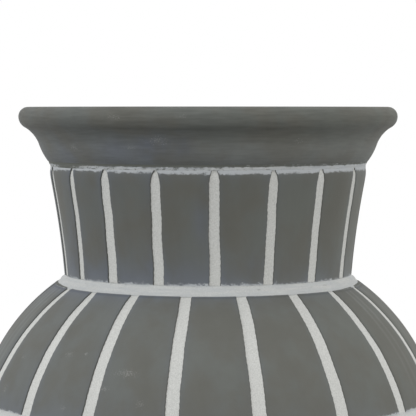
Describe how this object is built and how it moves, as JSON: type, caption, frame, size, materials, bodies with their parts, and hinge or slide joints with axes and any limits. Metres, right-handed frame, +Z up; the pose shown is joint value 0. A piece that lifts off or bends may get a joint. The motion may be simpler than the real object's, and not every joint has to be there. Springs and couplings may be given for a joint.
{
  "type": "urn vase",
  "caption": "Round-bodied urn vase with a flared collar, of dark matt stoneware with pale slip lines in carved grooves, for flowers or dry stems.",
  "frame": {"origin": "centre of the foot, on the surface that the vase stands on", "axes": "+Z up along the axis of the vase; -Y is the side that the picture shows"},
  "size_m": [0.2862, 0.2862, 0.34],
  "materials": {
    "dark_clay": "matt dark grey stoneware",
    "pale_slip": "dry matt off-white slip"
  },
  "bodies": {
    "root": {"rim_collar": "dark_clay", "neck_wall": "dark_clay", "shoulder_wall": "dark_clay", "belly_bowl": "dark_clay", "foot_ring": "dark_clay", "collar_band": "pale_slip", "neck_band": "pale_slip", "belly_band": "pale_slip", "foot_band": "pale_slip", "neck_stripes": "pale_slip", "shoulder_stripes": "pale_slip", "belly_stripes": "pale_slip"}
  },
  "joints": []
}
